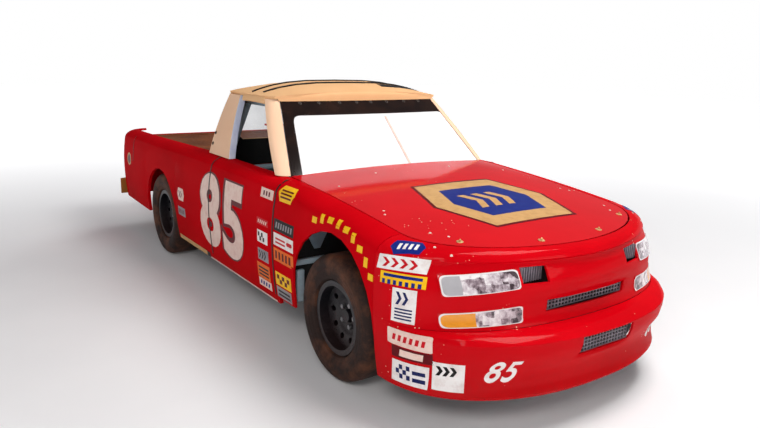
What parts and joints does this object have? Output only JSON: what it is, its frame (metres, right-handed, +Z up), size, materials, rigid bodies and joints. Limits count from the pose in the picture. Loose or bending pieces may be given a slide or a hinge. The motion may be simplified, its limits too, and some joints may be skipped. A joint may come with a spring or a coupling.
{
  "type": "race truck",
  "caption": "Stock-bodied pickup race truck on a tubular chassis: rolling and steering wheels, lifting hood, fixed doors, hollow cab with roll cage, covered bed.",
  "frame": {"origin": "on the ground, under the middle of the length and width", "axes": "+X forward, +Y to the truck's left, +Z up"},
  "size_m": [5.3, 1.89, 1.5449],
  "materials": {
    "body_red": "gloss red paint",
    "cab_cream": "gloss cream tan paint",
    "tan_paint": "gloss tan paint",
    "chassis_grey": "pale blue-grey enamel",
    "cast_dark": "dark cast metal",
    "tin": "bare sheet aluminium",
    "steel": "machined steel",
    "wheel_black": "satin black paint",
    "tyre": "smooth worn rubber",
    "mesh_black": "black mesh",
    "lamp_clear": "clear lamp cover",
    "lamp_amber": "amber lamp cover",
    "glass_clear": "clear polycarbonate",
    "webbing": "black webbing",
    "seat_black": "black padded shell",
    "bed_brown": "dull tan paint"
  },
  "bodies": {
    "chassis": {"frame": "chassis_grey", "roll_cage": "chassis_grey", "floor_pan": "tin", "bulkheads": "tin", "cowl": "body_red", "engine": "cast_dark", "driveline": "steel", "exhaust": "steel", "radiator": "cast_dark", "fuel_cell": "cast_dark", "front_arms": "chassis_grey", "rear_axle": "steel", "trailing_arms": "chassis_grey", "bumper_cover": "body_red", "grille_panel": "body_red", "grilles": "mesh_black", "headlamps": "lamp_clear", "turn_lamps": "lamp_amber", "wing_right": "body_red", "wing_left": "body_red", "door_right": "body_red", "door_left": "body_red", "bed_side_right": "body_red", "bed_side_left": "body_red", "sills": "tan_paint", "tailgate": "body_red", "rear_bumper": "tan_paint", "bed_cover": "bed_brown", "roof": "cab_cream", "a_pillars": "cab_cream", "cab_corners": "cab_cream", "cab_back": "cab_cream", "windshield": "glass_clear", "rear_window": "glass_clear", "window_net": "webbing", "dash": "tin", "seat": "seat_black"},
    "hood": {"hood": "body_red"},
    "knuckle_right": {"knuckle_right": "steel"},
    "knuckle_left": {"knuckle_left": "steel"},
    "steering_link": {"steering_link": "steel"},
    "steering_wheel": {"steering_wheel": "seat_black"},
    "road_wheel_front_right": {"tyre_front_right": "tyre", "wheel_front_right": "wheel_black"},
    "road_wheel_front_left": {"tyre_front_left": "tyre", "wheel_front_left": "wheel_black"},
    "road_wheel_rear_right": {"tyre_rear_right": "tyre", "wheel_rear_right": "wheel_black"},
    "road_wheel_rear_left": {"tyre_rear_left": "tyre", "wheel_rear_left": "wheel_black"}
  },
  "joints": [
    {"name": "steer_left", "type": "hinge", "parent": "chassis", "child": "knuckle_left", "pos_m": [1.57, 0.709, 0.35], "axis": [0, 0, 1], "range_deg": [-22, 22]},
    {"name": "steer_right", "type": "hinge", "parent": "chassis", "child": "knuckle_right", "pos_m": [1.57, -0.709, 0.35], "axis": [0, 0, 1], "range_deg": [-22, 22]},
    {"name": "link_shift", "type": "slide", "parent": "chassis", "child": "steering_link", "axis": [0, 1, 0], "range_m": [-0.04, 0.04]},
    {"name": "steering_turn", "type": "hinge", "parent": "chassis", "child": "steering_wheel", "pos_m": [0.42, 0.38, 0.865], "axis": [-0.9511, 0, 0.309], "range_deg": [-270, 270]},
    {"name": "hood_lift", "type": "hinge", "parent": "chassis", "child": "hood", "pos_m": [0.862, 0, 0.982], "axis": [0, -1, 0], "range_deg": [0, 50]},
    {"name": "spin_front_right", "type": "hinge", "parent": "knuckle_right", "child": "road_wheel_front_right", "pos_m": [1.57, -0.779, 0.35], "axis": [0, 1, 0], "continuous": true},
    {"name": "spin_front_left", "type": "hinge", "parent": "knuckle_left", "child": "road_wheel_front_left", "pos_m": [1.57, 0.779, 0.35], "axis": [0, 1, 0], "continuous": true},
    {"name": "spin_rear_right", "type": "hinge", "parent": "chassis", "child": "road_wheel_rear_right", "pos_m": [-1.275, -0.779, 0.35], "axis": [0, 1, 0], "continuous": true},
    {"name": "spin_rear_left", "type": "hinge", "parent": "chassis", "child": "road_wheel_rear_left", "pos_m": [-1.275, 0.779, 0.35], "axis": [0, 1, 0], "continuous": true}
  ],
  "couplings": [
    {"joint": "steer_right", "follows": "steer_left", "ratio": 1},
    {"joint": "link_shift", "follows": "steer_left", "m_per_rad": 0.1},
    {"joint": "steering_turn", "follows": "steer_left", "ratio": 12}
  ]
}
